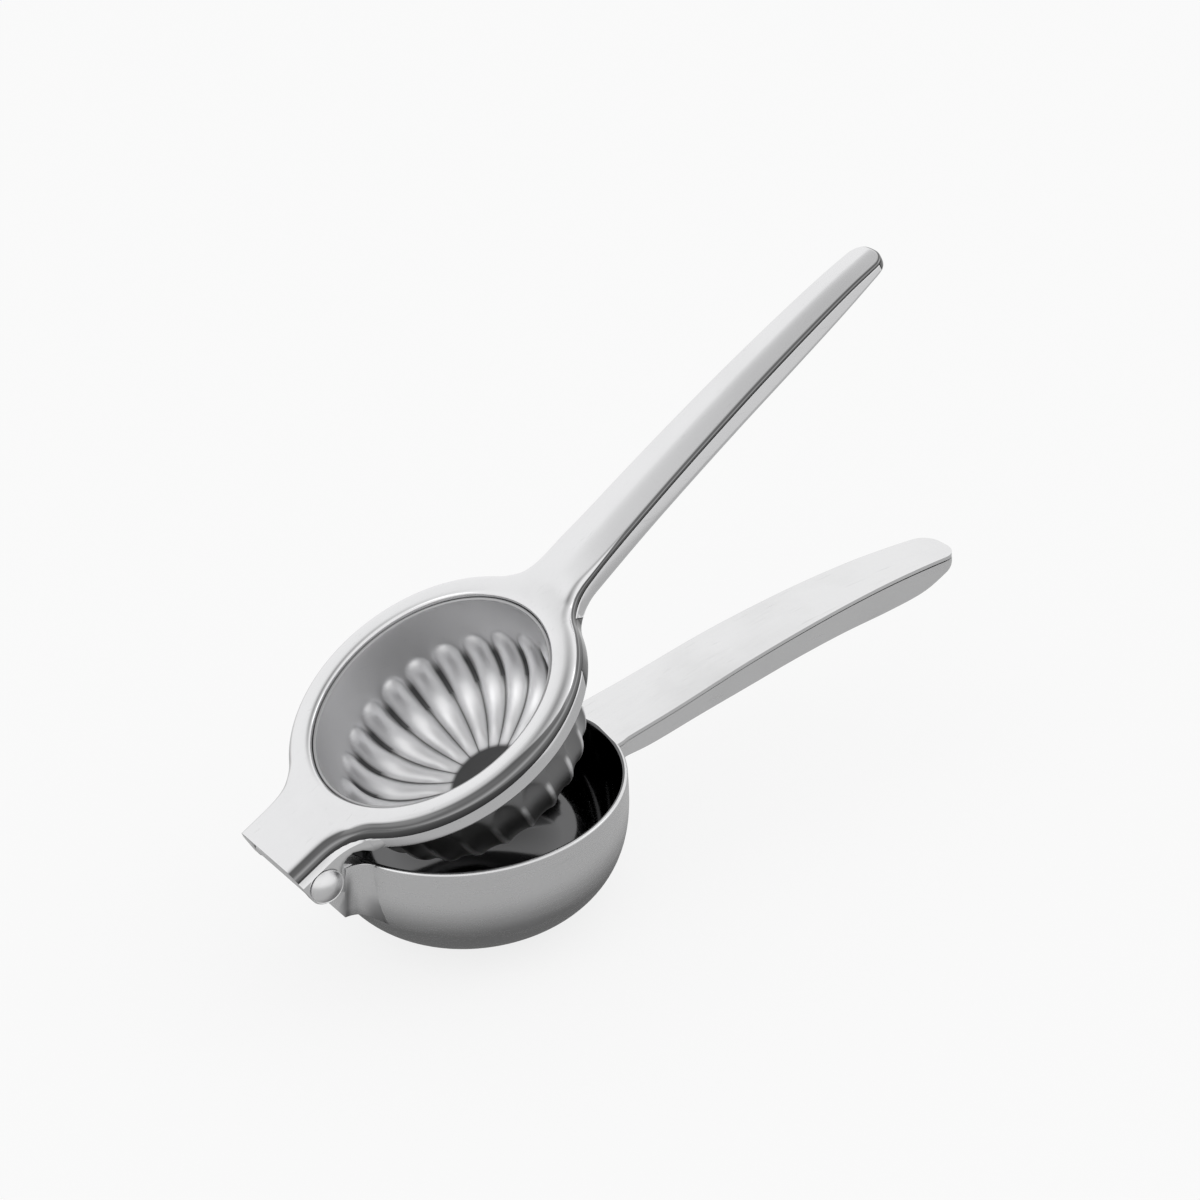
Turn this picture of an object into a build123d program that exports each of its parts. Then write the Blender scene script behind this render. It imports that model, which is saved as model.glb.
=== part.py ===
from build123d import *
import math
import os

# Layout, millimetres, +Z up, origin on the bowl axis at its flat base
hinge_reach = 52.0          # hinge axis to bowl axis
rim_height = 37.0           # bowl rim above the flat base
hinge_drop = 0.2            # hinge axis below the rim plane
open_angle = 25.3           # levers at rest, degrees from ring flat on rim

# Strainer bowl
bowl_radius = 41.7
bowl_wall = 1.5
bowl_corner = 22.5           # radius where wall turns into floor
bowl_wall_turn = 11.7        # degrees that the upper wall curves in
bowl_floor_turn = 34.9       # degrees left for the floor's own curve
base_radius = 12.0
rim_round = 0.7
over_rim = 20.0              # clear height above the rim for the pieces butted to the bowl
drain_radius = 1.5
drain_rings = ((4.5, 6), (9.0, 12))

# Press frame, heights above the hinge axis with the levers shut
opening_radius = 34.0
ring_radius = 41.5
ring_top = 8.4
ring_height = 8.0
frame_shoulder = 2.6
seam_drop = 3.5
sheet = 1.5
lip_wall = 1.5
plate_end = -4.85
plate_half = 14.0
plate_flare = 15.0

# Press handle
press_tip = 220.0
press_tip_round = 4.5
press_root = 92.0
press_half_root = 9.5
press_half_tip = 5.9
neck_flare = 13.0
press_top_line = ((109.0, 9.7), (128.0, 11.6), (148.0, 13.3), (168.0, 14.6), (188.0, 15.4),
                  (207.0, 15.7), (222.0, 15.0))
press_seam_line = ((109.0, 7.3), (128.0, 9.4), (148.0, 11.1), (168.0, 12.4), (188.0, 13.2),
                   (207.0, 13.5), (222.0, 12.8))
press_under_line = ((102.0, 1.6), (122.0, 3.8), (142.0, 5.4), (162.0, 6.7), (182.0, 7.7),
                    (202.0, 8.9), (222.0, 10.7))

# Hinge ears and rivet
ear_face = 15.4
ear_thick = 3.2
ear_flare = 14.0
ear_ledge_drop = 2.6
ear_chamfer = 1.0
bevel_reach = 6.0
ear_end = 14.5
lug_radius = 5.1
arch_x = 10.2
arch_z = 2.7
rivet_radius = 2.5
post_radius = 1.5
post_reach = 22.0
head_radius = 4.7
head_rise = 2.7
bore_clearance = 0.06
side_clearance = 0.3

# Press cup, depths below the ring top
cup_sheet = 1.0
cup_rim_drop = 1.3
cup_straight = 8.2
cup_depth = 36.0
cup_corner = 13.5
cup_wall_turn = 6.1
cup_floor_turn = 17.4
disc_radius = 11.5
flute_count = 24
flute_top = 18.8            # centre of each flute's rounded top
flute_share = 0.74          # flute width over the space it has at its radius
flute_foot = 9.5            # radius where the flutes end on the flat bottom
flute_seat = 0.4
flute_joints = (0.0, 0.30, 0.50, 0.70, 1.0)    # bends along a flute, as shares of its length
flute_end_turns = (25.0, 55.0)                 # facets that round off the top of a flute, degrees
flute_lap = 0.7                                # each length of a flute runs into the next
dent_least = 0.5            # radius at which the outside dents fade out

# Bowl handle
grip_tip = 216.0
grip_half_root = 11.2
grip_half_mid = 10.0
grip_half_tip = 6.9
grip_mid = 150.0
grip_start = 80.0
grip_tip_round = 5.5
grip_sheet = 1.4
grip_cover = 1.2
grip_top_line = ((103.0, 1.5), (119.5, 4.0), (137.0, 6.6), (154.5, 8.4), (172.0, 9.6),
                 (190.0, 10.0), (207.0, 9.4), (219.0, 8.4))
grip_under_line = ((103.0, -6.4), (119.5, -4.4), (137.0, -2.7), (154.5, -1.1), (172.0, -0.3),
                   (190.0, -0.4), (203.0, 0.2), (211.0, 2.7), (219.0, 6.4))
grip_root_top = 0.2
grip_root_under = -6.4

# Hinge tongue
tongue_half = 12.4
tongue_root_half = 15.6
tongue_root_x = 14.7
tongue_top_x = 7.4
tongue_foot_x = 5.3
tongue_foot = -14.0
tongue_root_foot = -20.0
tongue_edge = 0.8
knuckle_radius = 4.8
knuckle_back = 9.0

fine_steps = 360            # points worked out along the cup wall for its flutes

hinge_height = rim_height - hinge_drop
seam_turn = 90 + 180 / flute_count  # start of each turned wall, off the levers and between two flutes
ring_foot = ring_top - ring_height
ear_inner = ear_face - ear_thick


def box_between(x0, x1, y0, y1, z0, z1):
    middle = Pos((x0 + x1) / 2, (y0 + y1) / 2, (z0 + z1) / 2)
    return middle * Box(x1 - x0, y1 - y0, z1 - z0)


def across(radius, y0, y1):
    """Cylinder on the hinge axis between two stations along Y."""
    station = Plane(origin=(0, y0, 0), x_dir=(1, 0, 0), z_dir=(0, 1, 0))
    return extrude(station * Circle(radius), amount=y1 - y0)


def side_solid(edges, half_width):
    """Solid with the given closed outline in X-Z, reaching half_width both ways in Y."""
    return extrude(Plane.XZ * make_face(edges), amount=half_width, both=True)


def height_line(start, root, line):
    """Straight run from start to root, then a smooth curve along the handle."""
    points = (root,) + tuple(line)
    return [Line(start, root), Spline(*points, tangents=((1, 0), (1, line_slope(line))))]


def line_slope(line):
    (x0, z0), (x1, z1) = line[-2], line[-1]
    return (z1 - z0) / (x1 - x0)


def layer(upper, lower, half_width):
    """Solid between two height lines that share their start and end stations."""
    top = height_line(*upper)
    bottom = height_line(*lower)
    edges = top + bottom + [Line(upper[0], lower[0]), Line(upper[2][-1], lower[2][-1])]
    return side_solid(edges, half_width)


def dropped(line, amount):
    return (
        (line[0][0], line[0][1] - amount),
        (line[1][0], line[1][1] - amount),
        tuple((x, z - amount) for x, z in line[2]),
    )


def belly(radius, depth, foot, corner, wall_turn, floor_turn):
    """Wall, corner and floor arcs (start, end, radius) of a vessel from its rim to its flat foot."""
    first = math.radians(wall_turn)
    second = math.radians(90 - floor_turn)
    in_left = radius - foot - corner * (math.cos(first) - math.cos(second))
    down_left = depth - corner * (math.sin(second) - math.sin(first))
    a, b = 1 - math.cos(first), math.cos(second)
    c, d = math.sin(first), 1 - math.sin(second)
    wall = (in_left * d - b * down_left) / (a * d - b * c)
    floor = (a * down_left - c * in_left) / (a * d - b * c)
    return ((0.0, first, wall), (first, second, corner), (second, math.pi / 2, floor))


def belly_point(arcs, radius, wall, turn):
    """Point (r, d) where the vessel has turned in by an angle, on a surface set in by a wall."""
    r, d = radius - wall, 0.0
    for start, end, size in arcs:
        stop = min(max(turn, start), end)
        r -= (size - wall) * (math.cos(start) - math.cos(stop))
        d += (size - wall) * (math.sin(stop) - math.sin(start))
    return r, d


def belly_edges(arcs, radius, wall, top_z):
    """The vessel's three arcs in the (r, z) half plane."""
    edges = []
    for start, end, _ in arcs:
        (r0, d0), (r1, d1) = (belly_point(arcs, radius, wall, turn) for turn in (start, end))
        edges.append(TangentArc((r0, top_z - d0), (r1, top_z - d1),
                                tangent=(-math.sin(start), -math.cos(start))))
    return edges


def vessel(centre_x, top_z, arcs, radius, wall, rise):
    """Turned shell with a straight collar of the given rise above its curved wall."""
    out_r, out_d = belly_point(arcs, radius, 0, math.pi / 2)
    in_r, in_d = belly_point(arcs, radius, wall, math.pi / 2)
    rim = top_z + rise
    edges = belly_edges(arcs, radius, 0, top_z) + belly_edges(arcs, radius, wall, top_z) + [
        Line((out_r, top_z - out_d), (0, top_z - out_d)),
        Line((0, top_z - out_d), (0, top_z - in_d)),
        Line((0, top_z - in_d), (in_r, top_z - in_d)),
        Line((radius - wall, rim), (radius, rim)),
    ]
    if rise > 0:
        edges.append(Line((radius, top_z), (radius, rim)))
        edges.append(Line((radius - wall, top_z), (radius - wall, rim)))
    turned = revolve(Plane.XZ * make_face(edges), Axis.Z)
    return Pos(centre_x, 0, 0) * Rot(0, 0, seam_turn) * turned


def vessel_fill(centre_x, top_z, arcs, radius, rise):
    """Solid filling of a vessel out to its outer surface, carried up by the given rise."""
    out_r, out_d = belly_point(arcs, radius, 0, math.pi / 2)
    edges = belly_edges(arcs, radius, 0, top_z) + [
        Line((out_r, top_z - out_d), (0, top_z - out_d)),
        Line((0, top_z - out_d), (0, top_z + rise)),
        Line((0, top_z + rise), (radius, top_z + rise)),
        Line((radius, top_z + rise), (radius, top_z)),
    ]
    turned = revolve(Plane.XZ * make_face(edges), Axis.Z)
    return Pos(centre_x, 0, 0) * Rot(0, 0, seam_turn) * turned


def around(solid, centre_x, count):
    """Copies of a solid about the upright axis at centre_x."""
    home = Pos(-centre_x, 0, 0) * solid
    return [Pos(centre_x, 0, 0) * Rot(0, 0, 360 * i / count) * home for i in range(count)]


def frustum(start, end, r0, r1):
    """Round bar between two points of the X-Z plane with a radius at each."""
    (x0, z0), (x1, z1) = start, end
    length = math.hypot(x1 - x0, z1 - z0)
    along = Plane(origin=(x0, 0, z0), x_dir=(0, 1, 0), z_dir=(x1 - x0, 0, z1 - z0))
    side = Polyline((0, 0), (r0, 0), (r1, length), (0, length), close=True)
    return along * revolve(Plane.XZ * make_face(side), Axis.Z)


def taper_bar(stations):
    """Round bar through (x, z, radius) stations in the X-Z plane, its first end rounded off."""
    (x0, z0, radius), (x1, z1, second) = stations[:2]
    length = math.hypot(x1 - x0, z1 - z0)
    dx, dz = (x1 - x0) / length, (z1 - z0) / length
    side = [(0, -radius * math.cos(math.radians(flute_end_turns[0])))]
    for turn in flute_end_turns:
        side.append((radius * math.sin(math.radians(turn)), -radius * math.cos(math.radians(turn))))
    side += [(radius, 0), (second, length + flute_lap), (0, length + flute_lap)]
    along = Plane(origin=(x0, 0, z0), x_dir=(0, 1, 0), z_dir=(dx, 0, dz))
    bar = along * revolve(Plane.XZ * make_face(Polyline(*side, close=True)), Axis.Z)
    for (x0, z0, r0), (x1, z1, r1) in zip(stations[1:], stations[2:]):
        length = math.hypot(x1 - x0, z1 - z0)
        lap_x, lap_z = flute_lap * (x1 - x0) / length, flute_lap * (z1 - z0) / length
        bar = bar + frustum((x0 - lap_x, z0 - lap_z), (x1 + lap_x, z1 + lap_z), r0, r1)
    return bar


def ring_plan(half, flare):
    """Plan of ring, hinge plate and press handle with flared junctions and a rounded tip."""
    slope = (press_half_tip - press_half_root) / (press_tip - press_root)
    back = press_half_root + slope * (hinge_reach - press_root)
    handle = make_face(Polyline(
        (hinge_reach, -back), (press_tip, -press_half_tip), (press_tip, press_half_tip),
        (hinge_reach, back), close=True))
    plate_length = hinge_reach - plate_end
    plate = Pos(plate_end + plate_length / 2, 0) * Rectangle(plate_length, 2 * half)
    plan = Pos(hinge_reach, 0) * Circle(ring_radius) + plate + handle
    tip = [v for v in plan.vertices() if v.X > press_tip - 1]
    plan = fillet(tip, press_tip_round)
    necks = [v for v in plan.vertices() if hinge_reach + 30 < v.X < hinge_reach + ring_radius]
    plan = fillet(necks, neck_flare)
    flares = [v for v in plan.vertices() if plate_end + 1 < v.X < hinge_reach - 30]
    return fillet(flares, flare)


def press_lever():
    """Parts of the upper lever in its own frame, hinge axis at the origin, ring plane level."""
    far = 60.0
    top = ((plate_end - 5, ring_top), (press_root, ring_top), press_top_line)
    seam_z = ring_top - seam_drop
    seam = ((plate_end - 5, seam_z), (press_root, seam_z), press_seam_line)
    under = ((plate_end - 5, ring_foot), (press_root, ring_foot), press_under_line)
    plan = ring_plan(plate_half, plate_flare)
    low_plan = ring_plan(ear_face, ear_flare)

    body = extrude(plan, amount=far) & layer(top, under, far)
    crown = [
        e for e in body.edges()
        if e.center().X > plate_end + 0.1 and e.center().Z > ring_top - 0.05
        and abs(e.tangent_at(0.5).Z) < 0.5 and not on_under(e)
    ]
    body = fillet(crown, frame_shoulder)
    opening = Pos(hinge_reach, 0, 0) * Cylinder(opening_radius, 100)
    lip = Pos(hinge_reach, 0, 0) * Cylinder(opening_radius + lip_wall, 100)

    upper_room = extrude(offset(plan, -sheet, kind=Kind.INTERSECTION), amount=far)
    upper_room = (upper_room & layer(dropped(top, sheet), dropped(under, far), far)) - lip
    channel = box_between(plate_end - 5, plate_end + 15, -plate_half + sheet, plate_half - sheet,
                          -far, ring_top - sheet)
    above = layer(dropped(top, -far), seam, far)
    frame = (body & above) - upper_room - channel - opening

    low_body = extrude(low_plan, amount=far) & layer(seam, under, far)
    low_room = extrude(offset(low_plan, -sheet, kind=Kind.INTERSECTION), amount=far)
    low_room = (low_room & layer(dropped(seam, -far), dropped(under, -sheet), far)) - lip
    front = box_between(ear_end, press_tip + 5, -far, far, -far, far)
    underframe = (low_body & front) - low_room - opening

    ledge = ring_top - ear_ledge_drop
    band = extrude(low_plan, amount=ledge) - extrude(
        offset(low_plan, -ear_thick, kind=Kind.INTERSECTION), amount=ledge)
    band = band & box_between(plate_end, ear_end, -far, far, ring_foot, ledge)
    band = band + box_between(plate_end, plate_end + 6, -ear_face, -ear_inner, ring_foot, ledge)
    band = band + box_between(plate_end, plate_end + 6, ear_inner, ear_face, ring_foot, ledge)
    band = band - box_between(plate_end - 1, plate_end + 6, -ear_inner, ear_inner, -far, far)
    arch = side_solid(Polyline(
        (lug_radius - 0.6, -far), (lug_radius - 0.6, -0.6), (arch_x, arch_z), (ear_end, ring_foot),
        (ear_end, -far), close=True).edges(), far)
    band = band - arch - (body & above)
    bevel = Polyline((ear_face + 1, ledge - ear_chamfer - 1), (ear_face + 1, ledge + 1),
                     (ear_face - ear_chamfer - 1, ledge + 1), close=True)
    bevel = extrude(Plane.YZ * make_face(bevel), amount=bevel_reach - plate_end + 1)
    bevel = Pos(plate_end - 1, 0, 0) * bevel
    band = band - bevel - mirror(bevel, Plane.XZ)
    lug = across(lug_radius, -ear_face, -ear_inner) + across(lug_radius, ear_inner, ear_face)
    lug = lug - box_between(-far, far, -far, far, ring_foot + 2, far)
    ears = band + lug - across(rivet_radius, -far, far)
    near_ear = ears & box_between(-far, far, -far, 0, -far, far)
    far_ear = ears & box_between(-far, far, 0, far, -far, far)

    parts = {"press_frame": frame, "press_underframe": underframe,
             "near_ear": near_ear, "far_ear": far_ear, "press_cup": press_cup()}
    parts.update(rivet())
    return parts


def on_under(edge):
    """True for edges on the underside of the press handle."""
    p = edge.center()
    if p.X < press_root:
        return p.Z < ring_top - 1
    middle = [(x, (z + w) / 2) for (x, z), w in zip(press_top_line, under_at_top())]
    for (x0, z0), (x1, z1) in zip(((press_root, ring_top / 2),) + tuple(middle), middle):
        if x0 <= p.X <= x1:
            return p.Z < z0 + (z1 - z0) * (p.X - x0) / (x1 - x0)
    return False


def under_at_top():
    """Underside height at each station of the top line."""
    heights = []
    line = ((press_root, ring_foot),) + press_under_line
    for x, _ in press_top_line:
        for (x0, z0), (x1, z1) in zip(line, line[1:]):
            if x0 <= x <= x1:
                heights.append(z0 + (z1 - z0) * (x - x0) / (x1 - x0))
                break
    return heights


def press_cup():
    """Fluted cup: turned shell, round bars raised inside and matching dents outside."""
    arcs = belly(opening_radius, cup_depth - cup_straight, disc_radius, cup_corner, cup_wall_turn,
                 cup_floor_turn)
    top_z = ring_top - cup_straight
    shell = vessel(hinge_reach, top_z, arcs, opening_radius, cup_sheet, cup_straight - cup_rim_drop)
    seat = []
    for i in range(fine_steps + 1):
        turn = math.pi / 2 * i / fine_steps
        r, d = belly_point(arcs, opening_radius, cup_sheet, turn)
        if d > flute_top - cup_straight:
            seat.append((r, d, turn))
    seat.append((flute_foot, seat[-1][1], math.pi / 2))
    run = [0.0]
    for (r0, d0, _), (r1, d1, _) in zip(seat, seat[1:]):
        run.append(run[-1] + math.hypot(r1 - r0, d1 - d0))
    bar = []
    dent = []
    for share in flute_joints:
        goal = run[-1] * share
        i = min(range(len(run)), key=lambda j: abs(run[j] - goal))
        r, d, turn = seat[i]
        x = hinge_reach + r + math.cos(turn) * flute_seat
        z = top_z - d - math.sin(turn) * flute_seat
        radius = flute_share * math.pi * r / flute_count
        bar.append((x, z, radius))
        if radius - cup_sheet > dent_least:
            dent.append((x, z, radius - cup_sheet))
    room = vessel_fill(hinge_reach, top_z, arcs, opening_radius, cup_straight)
    bars = around(taper_bar(bar) & room, hinge_reach, flute_count)
    dents = around(taper_bar(dent), hinge_reach, flute_count)
    return (shell + bars) - dents


def dome(direction):
    """Rivet head on the outer face of an ear."""
    ball = (head_radius ** 2 + head_rise ** 2) / (2 * head_rise)
    head = Pos(0, direction * (ear_face + head_rise - ball), 0) * Sphere(ball)
    reach = direction * (ear_face + 20)
    return head & box_between(-20, 20, min(direction * ear_face, reach),
                              max(direction * ear_face, reach), -20, 20)


def rivet():
    barrel = across(rivet_radius, -ear_face, ear_face) + dome(-1)
    barrel = barrel - across(post_radius, ear_face - post_reach, ear_face)
    post = across(post_radius, ear_face - post_reach, ear_face) + dome(1)
    return {"rivet_barrel": barrel, "rivet_post": post}


def bowl_lever():
    """Parts of the lower lever, built with the hinge axis at the origin and the rim level."""
    rim = hinge_drop
    arcs = belly(bowl_radius, rim_height, base_radius, bowl_corner, bowl_wall_turn, bowl_floor_turn)
    bowl = vessel(hinge_reach, rim, arcs, bowl_radius, bowl_wall, 0)
    lips = [e for e in bowl.edges() if e.center().Z > rim - 0.01]
    bowl = fillet(lips, rim_round)
    for radius, count in drain_rings:
        drill = Pos(hinge_reach + radius, 0, rim - rim_height) * Cylinder(drain_radius, 20)
        bowl = bowl - around(drill, hinge_reach, count)

    fill = vessel_fill(hinge_reach, rim, arcs, bowl_radius, over_rim)
    parts = {"strainer_bowl": bowl, "hinge_tongue": hinge_tongue(fill)}
    parts.update(bowl_handle(fill))
    return parts


def hinge_tongue(fill):
    """Block welded to the bowl, narrowing to a knuckle that turns on the rivet."""
    far = 40.0
    slope = (tongue_root_half - tongue_half) / (tongue_root_x - tongue_foot_x)
    back_x = hinge_reach - bowl_radius / 2
    back_half = tongue_half + slope * (back_x - tongue_foot_x)
    plan = make_face(Polyline(
        (tongue_foot_x, -tongue_half), (back_x, -back_half), (back_x, back_half),
        (tongue_foot_x, tongue_half), close=True))
    side = Polyline(
        (tongue_top_x, hinge_drop), (tongue_foot_x, tongue_foot), (tongue_foot_x + 7, tongue_foot - 2),
        (hinge_reach - bowl_radius + 8, tongue_root_foot), (back_x, tongue_root_foot),
        (back_x, hinge_drop), close=True)
    block = Pos(0, 0, -far) * extrude(plan, amount=2 * far) & side_solid(side.edges(), far)
    front = [e for e in block.edges() if e.center().X < tongue_top_x and abs(e.tangent_at(0.5).Z) > 0.9]
    block = fillet(front, tongue_edge)
    half = ear_inner - side_clearance
    knuckle = side_solid(Polyline(
        (0, knuckle_radius), (2.2, knuckle_radius - 0.55), (knuckle_back + 1, hinge_drop - 0.2),
        (knuckle_back + 1, -knuckle_radius - 4), (2.2, -knuckle_radius + 0.55),
        (0, -knuckle_radius), close=True).edges(), half)
    knuckle = knuckle + across(knuckle_radius, -half, half)
    bore = across(rivet_radius + bore_clearance, -far, far)
    return (block + knuckle) - bore - fill


def grip_plan(wall):
    """Plan of the bowl handle with a rounded tip, drawn in by a wall all round."""
    half = ((grip_start, grip_half_root - wall), (grip_mid, grip_half_mid - wall),
            (grip_tip - wall, grip_half_tip - wall))
    near_side = [(x, -w) for x, w in half]
    far_side = [(x, w) for x, w in half]
    plan = make_face([
        Spline(*near_side), Line(near_side[-1], far_side[-1]), Spline(*far_side),
        Line(far_side[0], near_side[0])])
    tip = [v for v in plan.vertices() if v.X > grip_mid]
    return fillet(tip, grip_tip_round - wall)


def bowl_handle(fill):
    """Hollow handle of the bowl: a U trough closed by a flat cover, both butted to the bowl."""
    far = 40.0
    plan = grip_plan(0)
    start = hinge_reach
    top = ((start, grip_root_top), (hinge_reach + bowl_radius - 3, grip_root_top), grip_top_line)
    under = ((start, grip_root_under), (hinge_reach + bowl_radius - 3, grip_root_under), grip_under_line)
    upright = Pos(0, 0, -far) * extrude(plan, amount=2 * far)
    cover = (upright & layer(top, dropped(top, grip_cover), far)) - fill
    trough = (upright & layer(dropped(top, grip_cover), under, far)) - fill
    room = Pos(0, 0, -far) * extrude(grip_plan(grip_sheet), amount=2 * far)
    room = room & layer(dropped(top, -grip_sheet), dropped(under, -grip_sheet), far)
    keep = Pos(hinge_reach, 0, 0) * Cylinder(bowl_radius + grip_sheet, 200)
    trough = trough - (room - keep)
    return {"bowl_handle_cover": cover, "bowl_handle_trough": trough}


os.makedirs("parts", exist_ok=True)
stand = Pos(-hinge_reach, 0, hinge_height)
for name, solid in bowl_lever().items():
    export_step(stand * solid, f"parts/{name}.step")
for name, solid in press_lever().items():
    export_step(stand * Rot(0, -open_angle, 0) * solid, f"parts/{name}.step")
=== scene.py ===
import bpy
import bmesh
import math
from mathutils import Matrix, Vector


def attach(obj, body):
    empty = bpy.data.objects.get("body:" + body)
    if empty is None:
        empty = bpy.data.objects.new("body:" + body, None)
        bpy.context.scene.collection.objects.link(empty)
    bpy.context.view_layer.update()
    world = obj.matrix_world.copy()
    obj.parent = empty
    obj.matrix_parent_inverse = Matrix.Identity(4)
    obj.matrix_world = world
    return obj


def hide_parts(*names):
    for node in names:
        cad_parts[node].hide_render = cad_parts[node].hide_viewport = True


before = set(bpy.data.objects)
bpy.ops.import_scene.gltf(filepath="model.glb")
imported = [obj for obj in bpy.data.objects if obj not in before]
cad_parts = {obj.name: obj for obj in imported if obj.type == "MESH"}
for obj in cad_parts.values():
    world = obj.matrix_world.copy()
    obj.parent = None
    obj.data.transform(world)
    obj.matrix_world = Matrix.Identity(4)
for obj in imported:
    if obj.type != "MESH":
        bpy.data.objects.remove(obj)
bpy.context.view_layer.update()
print("frame loaded,", len(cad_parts), "nodes")

# pieces are modelled in millimetres with the hinge at the origin and the levers shut
layout = {"reach": 52.0, "hingeHeight": 36.8, "openDegrees": 25.3, "millimetre": 0.001}
reach = layout["reach"]  # from the hinge to the middle of ring, cup and bowl


# small tools

def soft(points, x, startSlope=None):  # height on a soft curve through points
    last = len(points) - 1
    i = 0
    while i < last - 1 and x > points[i + 1][0]:
        i += 1

    def slope(j):
        if j == 0 and startSlope is not None:
            return startSlope
        a, b = points[max(j - 1, 0)], points[min(j + 1, last)]
        return (b[1] - a[1]) / (b[0] - a[0])
    (x0, z0), (x1, z1) = points[i], points[i + 1]
    span = x1 - x0
    t = min(max((x - x0) / span, 0.0), 1.0)
    rise = (2 * t ** 3 - 3 * t ** 2 + 1) * z0 + (3 * t ** 2 - 2 * t ** 3) * z1
    return rise + span * ((t ** 3 - 2 * t ** 2 + t) * slope(i) + (t ** 3 - t ** 2) * slope(i + 1))


def ramp(x, start, end):  # 0 before start, 1 after end
    t = min(max((x - start) / (end - start), 0.0), 1.0)
    return t * t * (3 - 2 * t)


def spread(start, end, count):
    return [start + (end - start) * i / count for i in range(count + 1)]


def between(a, b, t):
    return tuple(p + (q - p) * t for p, q in zip(a, b))


def around(degrees, radius=1.0, middle=(0.0, 0.0)):  # a spot on a circle
    a = math.radians(degrees)
    return middle[0] + radius * math.cos(a), middle[1] + radius * math.sin(a)


def fullCurve(radius, foot, depth, fullness, shares):  # (radius, drop) from a rim round to a flat foot
    power = 2 / fullness
    last = math.acos((foot / radius) ** (1 / power))
    scale = depth / math.sin(last) ** power
    turns = [last * share for share in shares]
    return [(radius * math.cos(t) ** power, scale * math.sin(t) ** power) for t in turns]


def leaveEdit():
    if bpy.context.mode != "OBJECT":
        bpy.ops.object.mode_set(mode="OBJECT")


def clearSelection():
    leaveEdit()
    bpy.ops.object.select_all(action="DESELECT")


def begin(name, addPrimitive, **size):  # a primitive, opened in edit mode
    clearSelection()
    addPrimitive(**size)
    piece = bpy.context.object
    piece.name = piece.data.name = name
    bpy.ops.object.mode_set(mode="EDIT")
    return piece


def editMesh(piece):
    mesh = bmesh.from_edit_mesh(piece.data)
    mesh.verts.ensure_lookup_table()
    return mesh


def tidyMesh():
    bpy.ops.mesh.select_all(action="SELECT")
    bpy.ops.mesh.remove_doubles(threshold=0.002)
    bpy.ops.mesh.normals_make_consistent(inside=False)


def mergePoints(piece):  # opens a piece and merges what a modifier left double
    bpy.context.view_layer.objects.active = piece
    bpy.ops.object.mode_set(mode="EDIT")
    tidyMesh()


def pickVerts(piece, test):
    bpy.ops.mesh.select_mode(type="VERT")
    bpy.ops.mesh.select_all(action="DESELECT")
    mesh = editMesh(piece)
    for v in mesh.verts:
        v.select = test(v.co)
    mesh.select_flush(True)
    bmesh.update_edit_mesh(piece.data)


def spotKey(co):
    return tuple(round(c, 4) for c in Vector(co))


def moveRung(piece, old, new):  # picked vertices go from their old spots to new ones
    mesh = editMesh(piece)
    goal = {spotKey(a): b for a, b in zip(old, new)}
    for v in mesh.verts:
        if v.select:
            v.co = goal[spotKey(v.co)]
    bmesh.update_edit_mesh(piece.data)


def drawStrip(name, rungs):  # open rungs: a two-rung grid, then rung after rung extruded
    across = len(rungs[0]) - 1
    piece = begin(name, bpy.ops.mesh.primitive_grid_add, x_subdivisions=1, y_subdivisions=across, size=2)
    mesh = editMesh(piece)
    rows = [sorted((v for v in mesh.verts if v.co.x * side > 0), key=lambda v: v.co.y) for side in (-1, 1)]
    for i, row in enumerate(rows):
        for v, spot in zip(row, rungs[i]):
            v.select = i == 1
            v.co = spot
    mesh.select_mode = {"VERT"}
    mesh.select_flush_mode()
    bmesh.update_edit_mesh(piece.data)
    for old, new in zip(rungs[1:], rungs[2:]):
        bpy.ops.mesh.extrude_edges_move()
        moveRung(piece, old, new)
    return piece


def drawTube(name, loops):  # closed loops, extruded one from another, then capped
    piece = begin(name, bpy.ops.mesh.primitive_circle_add, vertices=len(loops[0]), radius=1)
    mesh = editMesh(piece)
    for v, spot in zip(mesh.verts, loops[0]):
        v.co = spot
    bmesh.update_edit_mesh(piece.data)
    for old, new in zip(loops, loops[1:]):
        bpy.ops.mesh.extrude_edges_move()
        moveRung(piece, old, new)
    bpy.ops.mesh.edge_face_add()
    first = {spotKey(spot) for spot in loops[0]}
    pickVerts(piece, lambda co: spotKey(co) in first)
    bpy.ops.mesh.edge_face_add()
    tidyMesh()
    leaveEdit()
    return piece


def drawTurned(name, profile, centre, axis, steps):  # a line of vertices, spun about an axis
    piece = begin(name, bpy.ops.mesh.primitive_plane_add, size=1)
    bpy.ops.mesh.merge(type="CENTER")
    here = Vector(profile[0])
    editMesh(piece).verts[0].co = here
    bmesh.update_edit_mesh(piece.data)
    for spot in profile[1:]:
        bpy.ops.mesh.extrude_vertices_move(TRANSFORM_OT_translate={"value": Vector(spot) - here})
        here = Vector(spot)
    bpy.ops.mesh.select_all(action="SELECT")
    bpy.ops.mesh.spin(steps=steps, angle=math.tau, center=centre, axis=axis)
    tidyMesh()
    leaveEdit()
    return piece


def applyModifier(piece, kind, **values):
    leaveEdit()
    bpy.context.view_layer.objects.active = piece
    modifier = piece.modifiers.new(kind.lower(), kind)
    for key, value in values.items():
        setattr(modifier, key, value)
    bpy.ops.object.modifier_apply(modifier=modifier.name)


def roundEdges(piece, width, segments, degrees):
    applyModifier(piece, "BEVEL", width=width, segments=segments, limit_method="ANGLE",
                  angle_limit=math.radians(degrees))


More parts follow.
